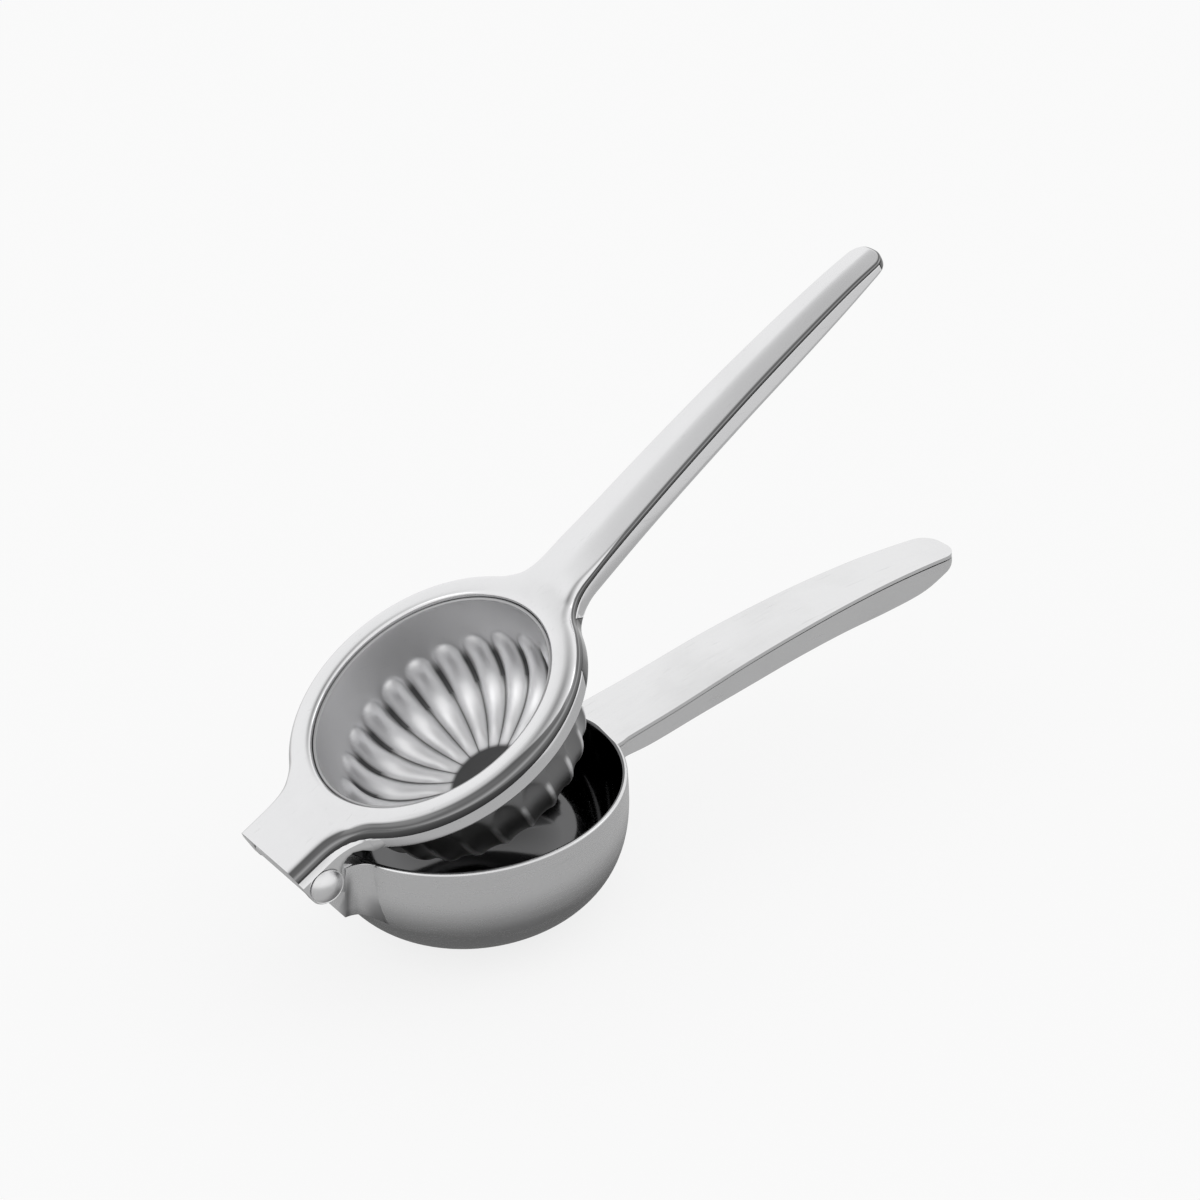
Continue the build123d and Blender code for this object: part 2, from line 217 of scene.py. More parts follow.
def finishSheet(piece, sheet, edge, direction, test):  # far half, faces turned out, thickness, soft edges
    applyModifier(piece, "MIRROR", use_axis=(False, True, False), merge_threshold=0.01)
    mergePoints(piece)
    mesh = editMesh(piece)
    mesh.normal_update()
    votes = sum(f.normal.dot(Vector(direction)) for f in mesh.faces if test(f.calc_center_median()))
    if votes < 0:
        bpy.ops.mesh.select_all(action="SELECT")
        bpy.ops.mesh.flip_normals()
    applyModifier(piece, "SOLIDIFY", thickness=sheet, offset=-1)
    roundEdges(piece, edge, 2, 50)
    applyModifier(piece, "SUBSURF", levels=1, render_levels=1)


def cutAway(piece, cutter, operation="DIFFERENCE"):
    applyModifier(piece, "BOOLEAN", object=cutter, operation=operation, solver="EXACT")
    bpy.data.objects.remove(cutter)


def boreAcross(piece, radius):  # the rivet's hole
    cutAway(piece, begin("bore", bpy.ops.mesh.primitive_cylinder_add, vertices=48, radius=radius, depth=60,
                         rotation=(math.pi / 2, 0, 0)))


def markPoints(piece, name, valueAt):  # a number at each vertex, which the finish reads
    mark = piece.data.attributes.new(name, "FLOAT", "POINT")
    for v in piece.data.vertices:
        mark.data[v.index].value = valueAt(v.co)


def seat(piece, body, nodes, material, angle=40):  # millimetres to the frame, then onto its body
    clearSelection()
    piece.select_set(True)
    bpy.context.view_layer.objects.active = piece
    size = layout["millimetre"]
    piece.scale = (size, size, size)
    if body == "press_lever":
        piece.rotation_euler = (0, math.radians(-layout["openDegrees"]), 0)
    piece.location = (-reach * size, 0, layout["hingeHeight"] * size)
    bpy.ops.object.transform_apply(location=True, rotation=True, scale=True)
    bpy.ops.object.shade_smooth_by_angle(angle=math.radians(angle))
    piece.data.materials.clear()
    piece.data.materials.append(material)
    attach(piece, body)
    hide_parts(*nodes)
    print(piece.name, len(piece.data.polygons), "faces")


# finishes

def addNode(tree, kind, spot, **values):
    node = tree.nodes.new("ShaderNode" + kind)
    node.location = spot
    for key, value in values.items():
        if key in node.inputs:
            node.inputs[key].default_value = value
        else:
            setattr(node, key, value)
    return node


def addRange(tree, spot, start, end, low=0.0, high=1.0):
    return addNode(tree, "MapRange", spot,
                   **{"From Min": start, "From Max": end, "To Min": low, "To Max": high})


def link(tree, *joins):  # each is a node and its output, then a node and its input
    for source, output, target, entry in joins:
        tree.links.new(source.outputs[output], target.inputs[entry])


def newGroup(name, inputs, outputs):  # a tuple makes a vector socket, a number a plain one
    tree = bpy.data.node_groups.new(name, "ShaderNodeTree")
    for side, sockets in (("INPUT", inputs), ("OUTPUT", outputs)):
        for label, value in sockets.items():
            kind = "NodeSocketVector" if isinstance(value, tuple) else "NodeSocketFloat"
            tree.interface.new_socket(name=label, in_out=side, socket_type=kind).default_value = value
    return tree, tree.nodes.new("NodeGroupInput"), tree.nodes.new("NodeGroupOutput")


def polishGroup():  # fine lines left by the polishing wheel
    inputs = {"Vector": (0, 0, 0), "Stretch": (40, 900, 900), "Rough Low": 0.05, "Rough High": 0.12}
    tree, source, result = newGroup("polishLines", inputs, {"Roughness": 0.0, "Height": 0.0})
    stretch = addNode(tree, "VectorMath", (-700, 0), operation="MULTIPLY")
    lines = addNode(tree, "TexNoise", (-500, 0), Scale=1.0, Detail=4.0, Roughness=0.6)
    span = addRange(tree, (-100, 0), 0.3, 0.7)
    link(tree, (source, "Vector", stretch, 0), (source, "Stretch", stretch, 1),
         (stretch, 0, lines, "Vector"), (lines, "Fac", span, "Value"), (source, "Rough Low", span, "To Min"),
         (source, "Rough High", span, "To Max"), (span, "Result", result, "Roughness"),
         (lines, "Fac", result, "Height"))
    return tree


def handlingGroup():  # dull patches and hairline scratches from use
    inputs = {"Vector": (0, 0, 0), "Patch Size": 55.0, "Patch Depth": 0.05, "Scratch Depth": 0.06}
    tree, source, result = newGroup("handlingMarks", inputs, {"Roughness": 0.0, "Shade": 0.0})
    patch = addNode(tree, "TexNoise", (-600, 200), Detail=3.0, Roughness=0.5)
    patchSpan = addRange(tree, (-300, 200), 0.45, 0.75)
    squeeze = addNode(tree, "Mapping", (-750, -150), Rotation=(0.3, 0.5, 0.9), Scale=(60, 1500, 900))
    scratch = addNode(tree, "TexNoise", (-550, -150), Scale=1.0, Detail=1.0)
    scratchSpan = addRange(tree, (-300, -150), 0.68, 0.74)
    both = addNode(tree, "Math", (100, 0), operation="ADD")
    shade = addNode(tree, "Math", (350, -100), operation="SUBTRACT")
    shade.inputs[0].default_value = 1.0
    link(tree, (source, "Vector", patch, "Vector"), (source, "Patch Size", patch, "Scale"),
         (source, "Vector", squeeze, "Vector"), (squeeze, "Vector", scratch, "Vector"),
         (patch, "Fac", patchSpan, "Value"), (source, "Patch Depth", patchSpan, "To Max"),
         (scratch, "Fac", scratchSpan, "Value"), (source, "Scratch Depth", scratchSpan, "To Max"),
         (patchSpan, "Result", both, 0), (scratchSpan, "Result", both, 1), (both, 0, result, "Roughness"),
         (both, 0, shade, 1), (shade, 0, result, "Shade"))
    return tree


def turnedGroup():  # angle, radius and height about an upright axis
    tree, source, result = newGroup("turnedCoordinates", {"Vector": (0, 0, 0)}, {"Vector": (0, 0, 0)})
    split = addNode(tree, "SeparateXYZ", (-600, 0))
    angle = addNode(tree, "Math", (-350, 150), operation="ARCTAN2")
    flat = addNode(tree, "VectorMath", (-600, -200), operation="MULTIPLY")
    flat.inputs[1].default_value = (1, 1, 0)
    radius = addNode(tree, "VectorMath", (-350, -200), operation="LENGTH")
    whole = addNode(tree, "CombineXYZ", (0, 0))
    link(tree, (source, "Vector", split, 0), (source, "Vector", flat, 0), (flat, 0, radius, 0),
         (split, "Y", angle, 0), (split, "X", angle, 1), (angle, 0, whole, "X"),
         (radius, "Value", whole, "Y"), (split, "Z", whole, "Z"), (whole, 0, result, "Vector"))
    return tree


groups = {"polishAndPaintedShading": polishGroup(), "handling": handlingGroup(), "turned": turnedGroup()}


def pairUp(tree, operation, first, second):
    if first is None:
        return second
    both = addNode(tree, "Math", (-200, 600), operation=operation)
    link(tree, (*first, both, 0), (*second, both, 1))
    return both, 0


def panelShare(tree, panels, spots):  # 1 inside panels that lie between slanted lines, 0 outside them
    softEdge = 0.0005
    most = None
    for panel in panels:
        least = None
        for slant, line in panel:
            along = addNode(tree, "VectorMath", (-500, 500), operation="DOT_PRODUCT")
            along.inputs[1].default_value = slant
            inside = addNode(tree, "Math", (-350, 500), operation="SUBTRACT")
            inside.inputs[1].default_value = line
            link(tree, (*spots, along, 0), (along, "Value", inside, 0))
            least = pairUp(tree, "MINIMUM", least, (inside, 0))
        most = pairUp(tree, "MAXIMUM", most, least)
    share = addRange(tree, (-50, 600), -softEdge, softEdge)
    link(tree, (*most, share, "Value"))
    return share, "Result"


def newMaterial(name, outSpot):
    material = bpy.data.materials.new(name)
    material.use_nodes = True
    tree = material.node_tree
    tree.nodes.clear()
    return material, tree, addNode(tree, "OutputMaterial", outSpot)


def steel(name, finish):
    material, tree, out = newMaterial(name, (900, 0))
    metal = addNode(tree, "BsdfPrincipled", (600, 0), Metallic=1.0)
    where = addNode(tree, "TexCoord", (-900, 0))
    place = addNode(tree, "Mapping", (-700, 0), vector_type="TEXTURE",
                    Location=finish.get("centre", (0, 0, 0)),
                    Rotation=(0, math.radians(finish.get("lean", 0)), 0))
    link(tree, (where, "Object", place, "Vector"))
    spots = (place, "Vector")
    if finish.get("turned"):
        polar = addNode(tree, "Group", (-500, 0), node_tree=groups["turned"])
        link(tree, (*spots, polar, "Vector"))
        spots = (polar, "Vector")
    lines = addNode(tree, "Group", (-250, 150), node_tree=groups["polishAndPaintedShading"], Stretch=finish["stretch"],
                    **{"Rough Low": finish["rough"][0], "Rough High": finish["rough"][1]})
    marks = addNode(tree, "Group", (-250, -150), node_tree=groups["handling"],
                    **{"Patch Size": finish["patch"][0], "Patch Depth": finish["patch"][1],
                       "Scratch Depth": finish["scratch"]})
    total = addNode(tree, "Math", (100, 100), operation="ADD")
    tint = addNode(tree, "Mix", (300, 200), data_type="RGBA", blend_type="MULTIPLY", Factor=1.0)
    bump = addNode(tree, "Bump", (300, -200), Distance=finish["relief"], Strength=1.0)
    colour, roughness = (tint, "Result"), (total, 0)
    if "colour" in finish:
        tint.inputs["A"].default_value = (*finish["colour"], 1)
    else:
        if "panels" in finish:
            share = panelShare(tree, finish["panels"], (place, "Vector"))
        else:
            share = (addNode(tree, "Attribute", (-100, 500), attribute_name=finish["mark"]), "Fac")
        # a ramp of greys read from panels or a mark: painted light and shade in the colour
        scale = addNode(tree, "ValToRGB", (50, 400))
        stops = scale.color_ramp.elements
        for i, (value, grey) in enumerate(finish["shades"]):  # the two ends come first
            stop = stops[i] if i < 2 else stops.new(value)
            stop.position = value
            stop.color = (grey, grey, grey * 1.01, 1)
        link(tree, (*share, scale, "Fac"), (scale, "Color", tint, "A"))
    if "mask" in finish:  # a side of the piece painted darker as painted shade, with a roughness of its own
        attribute, second, change = finish["mask"]
        mask = addNode(tree, "Attribute", (250, 500), attribute_name=attribute)
        blend = addNode(tree, "Mix", (450, 350), data_type="RGBA", blend_type="MIX", B=(*second, 1))
        scale = addRange(tree, (450, 100), 0.0, 1.0, 1.0, change)
        product = addNode(tree, "Math", (520, 0), operation="MULTIPLY")
        link(tree, (mask, "Fac", blend, "Factor"), (*colour, blend, "A"), (mask, "Fac", scale, "Value"),
             (*roughness, product, 0), (scale, "Result", product, 1))
        colour, roughness = (blend, "Result"), (product, 0)
    link(tree, (*spots, lines, "Vector"), (where, "Object", marks, "Vector"), (lines, "Roughness", total, 0),
         (marks, "Roughness", total, 1), (marks, "Shade", tint, "B"), (lines, "Height", bump, "Height"),
         (*colour, metal, "Base Color"), (*roughness, metal, "Roughness"), (bump, "Normal", metal, "Normal"),
         (metal, 0, out, "Surface"))
    return material


hingeSpot = (-reach * layout["millimetre"], 0, layout["hingeHeight"] * layout["millimetre"])
cupX, cupZ = around(layout["openDegrees"], reach * layout["millimetre"], (hingeSpot[0], hingeSpot[2]))
pressFinish = {"rough": (0.11, 0.16), "stretch": (30, 700, 700), "patch": (45, 0.03), "scratch": 0.04,
               "relief": 0.000003, "lean": -layout["openDegrees"], "centre": hingeSpot}
gripFinish = {"colour": (0.80, 0.80, 0.805), "stretch": (30, 800, 800), "patch": (45, 0.05), "scratch": 0.05,
              "relief": 0.000005}
finishes = {
    # painted shade down the shoulder from the face to the seam, with a painted highlight streak near 0.4
    "frameSteel": {**pressFinish, "mark": "shoulder",
                   "shades": ((0.0, 0.80), (1.0, 0.06), (0.02, 0.78), (0.07, 0.17), (0.25, 0.12),
                              (0.4, 0.32), (0.52, 0.15), (0.8, 0.09))},
    "underSteel": {**pressFinish,  # painted shade in panels: the side of the neck, then the tip, each with a darker painted line inside its edge
                   "panels": ((((1, 0, -0.62), 0.0784), ((-1, 0, -0.71), -0.0953), ((0, 0, 1), 0.0008)),
                              (((1, 0, 0), 0.2168),)),
                   "shades": ((0.0, 0.80), (1.0, 0.12), (0.5, 0.80), (0.54, 0.02), (0.8, 0.02),
                              (0.86, 0.12))},
    "earSteel": {**pressFinish, "colour": (0.80, 0.80, 0.805)},
    # the cup's mark paints light and shade: dark grooves and floor, a mid-grey wall, light bars, and outside
    # dark with light seams
    "cupSteel": {"rough": (0.38, 0.44), "stretch": (3, 300, 300), "turned": True, "patch": (60, 0.02),
                 "scratch": 0.02, "relief": 0.000001, "lean": -layout["openDegrees"],
                 "centre": (cupX, 0, cupZ), "mark": "polishAndPaintedShading",
                 "shades": ((0.0, 0.10), (1.0, 0.95), (0.5, 0.68))},
    "rivetSteel": {"colour": (0.82, 0.82, 0.825), "rough": (0.30, 0.38), "stretch": (300, 300, 300),
                   "patch": (90, 0.04), "scratch": 0.04, "relief": 0.000003},
    "bowlSteel": {"colour": (0.74, 0.74, 0.745), "rough": (0.20, 0.30), "stretch": (3, 600, 600),
                  "turned": True, "patch": (40, 0.03), "scratch": 0.03, "relief": 0.0000003,
                  # the bowl's inside painted near black as painted shade, and smoother
                  "mask": ("inside", (0.13, 0.13, 0.132), 0.25)},
    "gripSteel": {**gripFinish, "rough": (0.14, 0.22)},
    "gripSideSteel": {**gripFinish, "rough": (0.18, 0.26)},
}
metals = {name: steel(name, finish) for name, finish in finishes.items()}
print("finishes made")


# press lever: upper and lower shells

pressLine = {
    "ringRadius": 41.5, "plateEnd": -4.85, "tip": 220.0, "tipRound": 4.5,
    "rootX": 92.0, "rootHalf": 9.5, "tipHalf": 5.9, "neckFlare": 13.0, "neckGuess": 48.0,
    "behind": (3.0, 1.4, 0.2),  # of the middle line, behind the tip's corner
    "steps": {"plate": 6, "flare": 12, "ring": 44, "neck": 14, "side": 36, "corner": 8, "end": 3},
    "top": ((92, 8.4), (109, 9.7), (128, 11.5), (148, 13.15), (168, 14.4), (188, 15.1), (207, 15.17),
            (222, 14.42)),
    "seam": ((92, 4.9), (109, 7.3), (128, 9.4), (148, 11.1), (168, 12.4), (188, 13.2), (207, 13.5),
             (222, 12.8)),
    "under": ((92, 0.4), (102, 1.6), (122, 3.8), (142, 5.4), (162, 6.7), (182, 7.7), (202, 8.9),
              (222, 10.7)),
}


def arcRow(middle, radius, start, end, count, sign):  # spots and outward directions on an arc
    return [(around(a, radius, middle), around(a, sign)) for a in spread(start, end, count)]


def flareStart(half, flare):  # where the plate's straight side ends
    return reach - math.sqrt((pressLine["ringRadius"] + flare) ** 2 - (half + flare) ** 2)


def pressOutline(half, flare, start):  # near side of the lever from its hinge end to its tip, in runs
    p = pressLine
    steps = p["steps"]
    flareX, flareY = flareStart(half, flare), half + flare
    flareTurn = math.degrees(math.atan2(flareY, reach - flareX))
    slope = (p["tipHalf"] - p["rootHalf"]) / (p["tip"] - p["rootX"])
    tilt = math.atan(slope)
    neckX = reach + p["neckGuess"]
    for _ in range(20):  # the neck's arc touches the ring and the handle's side
        neckY = p["rootHalf"] + slope * (neckX - p["rootX"]) + p["neckFlare"] / math.cos(tilt)
        neckX = reach + math.sqrt((p["ringRadius"] + p["neckFlare"]) ** 2 - neckY ** 2)
    neckTurn = math.degrees(math.atan2(neckY, neckX - reach))
    sideTurn = 90 - math.degrees(tilt)
    runs = []
    firstTurn = 90.0
    if start < flareX:
        runs.append(("plate", [((x, -half), (0, -1)) for x in spread(start, flareX, steps["plate"])]))
    else:
        firstTurn = math.degrees(math.acos((start - flareX) / flare))
    runs.append(("flare", arcRow((flareX, -flareY), flare, firstTurn, flareTurn, steps["flare"], -1)))
    ring = arcRow((reach, 0), p["ringRadius"], 180 + flareTurn, 360 - neckTurn, steps["ring"], 1)
    neck = arcRow((neckX, -neckY), p["neckFlare"], 180 - neckTurn, sideTurn, steps["neck"], -1)
    cornerX = p["tip"] - p["tipRound"]
    cornerY = p["tipHalf"] + slope * (cornerX - p["tip"]) - p["tipRound"]
    corner = arcRow((cornerX, -cornerY), p["tipRound"], -sideTurn, 0, steps["corner"], 1)
    sideStart, (sideEnd, out) = neck[-1][0], corner[0]
    side = [(between(sideStart, sideEnd, t), out) for t in spread(0, 1, steps["side"])]
    end = [((p["tip"], y), (1, 0)) for y in spread(-cornerY, 0, steps["end"])]
    runs += [("ring", ring), ("neck", neck), ("side", side), ("corner", corner), ("end", end)]
    return runs, flareTurn, neckTurn


def pressPath(half, flare, start, mouth):  # (inner spot, outline spot, outward) for each rung
    runs, flareTurn, neckTurn = pressOutline(half, flare, start)
    before, after, final = pressLine["behind"]
    tipStart = runs[-2][1][0][0][0]
    path = []

    def onMouth(degrees):
        return around(degrees, mouth, (reach, 0))

    def innerSpot(name, row, x, t):
        first, last = row[0][0][0], row[-1][0][0]
        if name == "plate":
            return x, 0
        if name == "flare" and t <= 0.5:
            return first + (reach - mouth - first) * t * 2, 0
        if name == "flare":
            return onMouth(180 + flareTurn * (t - 0.5) * 2)
        if name == "ring":
            return onMouth(180 + flareTurn + (180 - flareTurn - neckTurn) * t)
        if name == "neck" and t < 0.5:
            return onMouth(360 - neckTurn * (1 - t * 2))
        if name == "neck":
            return reach + mouth + (last - reach - mouth) * (t - 0.5) * 2, 0
        if name == "side":
            return x - before * t, 0
        if name == "corner":
            return tipStart - before + (before - after) * t, 0
        return tipStart - after + (after - final) * t, 0

    for name, row in runs:
        for i, (spot, out) in enumerate(row):
            inner = innerSpot(name, row, spot[0], i / (len(row) - 1))
            if path and math.dist(path[-1][0], inner) < 1e-4 and math.dist(path[-1][1], spot) < 1e-4:
                continue
            path.append((inner, spot, out))
    return path


def shellRungs(path, flatCount, curveCount, roundness, face, wallEnd, side):
    # side 1: face on top and wall down; side -1: face below and wall up
    rungs = []
    for inner, spot, out in path:
        r = roundness(spot[0])
        flat = (spot[0] - out[0] * r, spot[1] - out[1] * r)
        rung = [(x, y, face(x, y)) for x, y in (between(inner, flat, t) for t in spread(0, 1, flatCount))]
        edge = face(*flat)
        for a in spread(0, math.pi / 2, curveCount)[1:]:
            back, drop = r * (1 - math.sin(a)), side * r * (1 - math.cos(a))
            rung.append((spot[0] - out[0] * back, spot[1] - out[1] * back, edge - drop))
        rung.append((*spot, wallEnd(spot[0])))
        rungs.append(rung)
    return rungs


def rimOfOpening(piece, radius, steps):  # extrudes the opening's edge: (radius, height change) steps
    pickVerts(piece, lambda co: abs(math.hypot(co.x - reach, co.y) - radius) < 0.02)
    here = radius
    for goal, drop in steps:
        bpy.ops.mesh.extrude_edges_move(TRANSFORM_OT_translate={"value": (0, 0, drop)})
        k = goal / here
        bpy.ops.transform.resize(value=(k, k, 1), center_override=(reach, 0, 0))
        here = goal


def leverLine(name, x):  # level from the hinge to the root of the handle
    return soft(pressLine[name], x, 0) if x > pressLine["rootX"] else pressLine[name][0][1]


pressFrame = {"half": 14.0, "flare": 15.0, "opening": 34.05, "lip": 1.2, "lipSteps": 4, "sheet": 1.2,
              "edge": 0.22, "seamGap": 0.1, "flatSteps": 6, "curveSteps": 7, "ringShoulder": 3.4,
              "gripShoulder": 1.0, "shoulderSpan": (84, 108), "ridge": 0.95, "ridgeRound": 0.2,
              "ridgeSpan": (88, 120), "ringMiddle": 37.2, "ringCrown": 0.32, "ringFade": 6.0,
              # painted light and shade: a mid-grey painted line on the lip, a lighter far-side shoulder, a
              # narrower painted dark band by the neck
              "lipPaintedShade": 0.05, "farPaintedLight": 0.7, "farSpan": (0, 6), "neckPaintedLight": 0.35,
              "neckStart": (50, 80), "neckEnd": (100, 118)}


def frameShoulder(x):
    s = pressFrame
    return s["ringShoulder"] + (s["gripShoulder"] - s["ringShoulder"]) * ramp(x, *s["shoulderSpan"])


def frameFace(x, y):  # crowned round the ring, ridged along the handle
    p, s = pressLine, pressFrame
    off = math.hypot(x - reach, y) - s["ringMiddle"]
    width = p["ringRadius"] - s["ringMiddle"]
    fall = s["ringCrown"] * min(abs(off) / width, 1.0) ** 2 * (1 - ramp(off, width, width + s["ringFade"]))
    drop = 0.0
    if x > p["rootX"]:
        half = p["rootHalf"] + (p["tipHalf"] - p["rootHalf"]) * (x - p["rootX"]) / (p["tip"] - p["rootX"])
        across = math.hypot(min(abs(y) / half, 1.0), s["ridgeRound"]) - s["ridgeRound"]
        drop = s["ridge"] * ramp(x, *s["ridgeSpan"]) * across
    return leverLine("top", x) - drop - fall


def shoulderPaintedShade(co):  # share of the way from the face down to the seam, which sets the painted shade on the shoulder; lighter on the far side and by the neck
    s = pressFrame
    face = frameFace(co.x, co.y)
    share = min(max((face - co.z) / (face - leverLine("seam", co.x)), 0.0), 1.0)
    if math.hypot(co.x - reach, co.y) < s["opening"] + s["lip"]:
        share = min(share, s["lipPaintedShade"])
    light = s["neckPaintedLight"] * ramp(co.x, *s["neckStart"]) * (1 - ramp(co.x, *s["neckEnd"]))
    share = max(share - light, 0.0) / (1 - light)
    return share * (1 - s["farPaintedLight"] * ramp(co.y, *s["farSpan"]))


def makePressFrame():
    s = pressFrame
    mouth = s["opening"] + s["lip"]
    path = pressPath(s["half"], s["flare"], pressLine["plateEnd"], mouth)
    rungs = shellRungs(path, s["flatSteps"], s["curveSteps"], frameShoulder, frameFace,
                       lambda x: leverLine("seam", x) + s["seamGap"], 1)
    piece = drawStrip("pressFrame", rungs)
    steps = []
    before = 0.0
    for a in spread(0, math.pi / 2, s["lipSteps"])[1:]:
        drop = s["lip"] * (1 - math.cos(a))
        steps.append((mouth - s["lip"] * math.sin(a), before - drop))
        before = drop
    steps.append((s["opening"], -(pressLine["top"][0][1] - pressLine["seam"][0][1] - s["lip"])))
    rimOfOpening(piece, mouth, steps)
    finishSheet(piece, s["sheet"], s["edge"], (0, 0, 1), lambda co: co.z > 8.0)
    # the painted shade on the shoulder, which frameSteel reads
    markPoints(piece, "shoulder", shoulderPaintedShade)
    seat(piece, "press_lever", ["press_frame"], metals["frameSteel"])


makePressFrame()

pressUnderframe = {"half": 15.4, "flare": 14.0, "start": 14.5, "opening": 34.05, "foot": 1.3, "sheet": 1.2,
                   "edge": 0.22, "seamGap": 0.1, "flatSteps": 4, "curveSteps": 5}


def makePressUnderframe():
    s = pressUnderframe
    path = pressPath(s["half"], s["flare"], s["start"], s["opening"])
    rungs = shellRungs(path, s["flatSteps"], s["curveSteps"], lambda x: s["foot"],
                       lambda x, y: leverLine("under", x), lambda x: leverLine("seam", x) - s["seamGap"], -1)
    piece = drawStrip("pressUnderframe", rungs)
    rise = pressLine["seam"][0][1] - s["seamGap"] - pressLine["under"][0][1]
    rimOfOpening(piece, s["opening"], [(s["opening"], rise / 2), (s["opening"], rise / 2)])
    finishSheet(piece, s["sheet"], s["edge"], (0, 0, -1), lambda co: co.z < 0.6)
    seat(piece, "press_lever", ["press_underframe"], metals["underSteel"])


makePressUnderframe()

# hinge ears

hingeEar = {"outer": 15.4, "thick": 3.2, "flare": 14.0, "crease": 4.5, "creaseRoom": 0.1, "top": 6.1,
            "tuck": 1.0, "end": 14.5, "lap": 0.06, "lapSpan": (-0.3, 0.2), "drop": 1.5,
            "dropSpan": (-0.2, 2.5), "lug": 5.1, "lugTurn": (18, 148), "lugSteps": 14,
            "bore": 2.5, "edge": 0.3,
            "arch": ((4.75, -1.1), (5.4, 0.2), (6.6, 1.3), (8.3, 2.25), (10.2, 2.7), (12.3, 2.0),
                     (14.2, 0.45), (14.7, 0.5), (17.0, 2.2))}


def flaredSide(half, flare, x):  # distance of the plate's side from the middle
    flareX = flareStart(half, flare)
    return half if x <= flareX else half + flare - math.sqrt(flare ** 2 - (x - flareX) ** 2)


def makeEar(name, node, side):
    s = hingeEar
    loops = []
    stations = [around(a, -s["lug"]) for a in spread(*s["lugTurn"], s["lugSteps"])] + list(s["arch"])
    for x, foot in stations:  # round the lug, then along the arch; sunk where the band laps it
        y = flaredSide(s["outer"], s["flare"], x) - s["lap"] * ramp(x - s["end"], *s["lapSpan"])
        plate = flaredSide(pressFrame["half"], pressFrame["flare"], x) - s["tuck"]
        inner = y - s["thick"]
        top = s["top"] - s["drop"] * ramp(x - s["end"], *s["dropSpan"])
        crease = min(s["crease"], top - s["creaseRoom"])
        corners = ((inner, foot), (y, foot), (y, (foot + crease) / 2), (y, crease), (plate, top),
                   (inner, top), (inner, (foot + top) / 2))
        loops.append([(x, side * across, z) for across, z in corners])
    piece = drawTube(name, loops)
    boreAcross(piece, s["bore"])
    roundEdges(piece, s["edge"], 2, 28)
    seat(piece, "press_lever", [node], metals["earSteel"])


makeEar("nearEar", "near_ear", -1)
makeEar("farEar", "far_ear", 1)

# hinge rivet

hingeRivet = {"shank": 2.5, "post": 1.5, "postReach": 22.0, "head": 4.7, "rise": 2.7, "face": 15.4,
              "rim": ((0.02, 0.5), (0.2, 0.25), (0.8, 0.25), (0.9, 0.0)),  # in from the edge, off the ear
              "domeSteps": 12, "shankSteps": 4, "steps": 56}


def domeLine(side):  # head outline from its crown to its rim and under it
    s = hingeRivet
    ball = (s["head"] ** 2 + s["rise"] ** 2) / (2 * s["rise"])
    crown = s["face"] + s["rise"] - ball
    turns = spread(0, math.asin(s["head"] / ball), s["domeSteps"])[:-1]
    line = [(ball * math.sin(t), side * (crown + ball * math.cos(t)), 0) for t in turns]
    return line + [(s["head"] - inset, side * (s["face"] + off), 0) for inset, off in s["rim"]]


def makeRivet():
    s = hingeRivet
    bottom = s["face"] - s["postReach"]
    core = [(s["post"], s["face"], 0), (s["post"], bottom, 0), (0, bottom, 0)]
    shank = [(s["shank"], y, 0) for y in spread(-s["face"], s["face"], s["shankSteps"])]
    for name, node, profile in (("rivetBarrel", "rivet_barrel", domeLine(-1) + shank + core),
                                ("rivetPost", "rivet_post", domeLine(1) + core)):
        piece = drawTurned(name, profile, (0, 0, 0), (0, 1, 0), s["steps"])
        seat(piece, "press_lever", [node], metals["rivetSteel"])


makeRivet()

# press cup

pressCup = {"radius": 32.95, "rim": 7.1, "rimSteps": 6, "straight": 0.2, "floor": -26.6, "fullness": 3.9,
            "disc": 11.0, "sheet": 0.98, "flutes": 24, "barHalf": 3.4, "barShare": 0.44, "barRise": 1.7,
            "barPower": 0.7, "dentShare": 0.5, "barTop": -10.8, "topSlope": 0.7, "barFoot": 11.6,
            "fade": 7.0, "fillet": 0.1, "perFlute": 16, "wallHeights": (5.0, 2.6), "beltRings": 60,
            "fineSteps": 400, "floorRings": (10.4, 9.8, 9.2, 8.5, 7.6, 6.0, 4.0, 2.0),
            # painted light and shade: light bars, the wall above them mid-grey, dark grooves and floor, and
            # outside, painted light along the seams
            "paintedLightShare": 0.47, "paintedLightPower": 0.45, "paintedLightFoot": (-0.6, 1.2), "wallPaintedShading": 0.5,
            "wallSpan": (-2.5, 3.0), "outsidePaintedShade": 0.12, "seamPaintedLight": 0.8, "seamShare": (0.38, 0.5),
            "seamTop": (-1.0, 2.0), "seamFoot": (0.0, 2.0), "rimPaintedShading": 0.3}


def inwardAt(line, i, step):  # unit direction square to a wall
    a, b = line[max(i - step, 0)], line[min(i + step, len(line) - 1)]
    length = math.dist(a, b)
    return (b[1] - a[1]) / length, -(b[0] - a[0]) / length


def runLengths(line):
    run = [0.0]
    for a, b in zip(line, line[1:]):
        run.append(run[-1] + math.dist(a[:2], b[:2]))
    return run


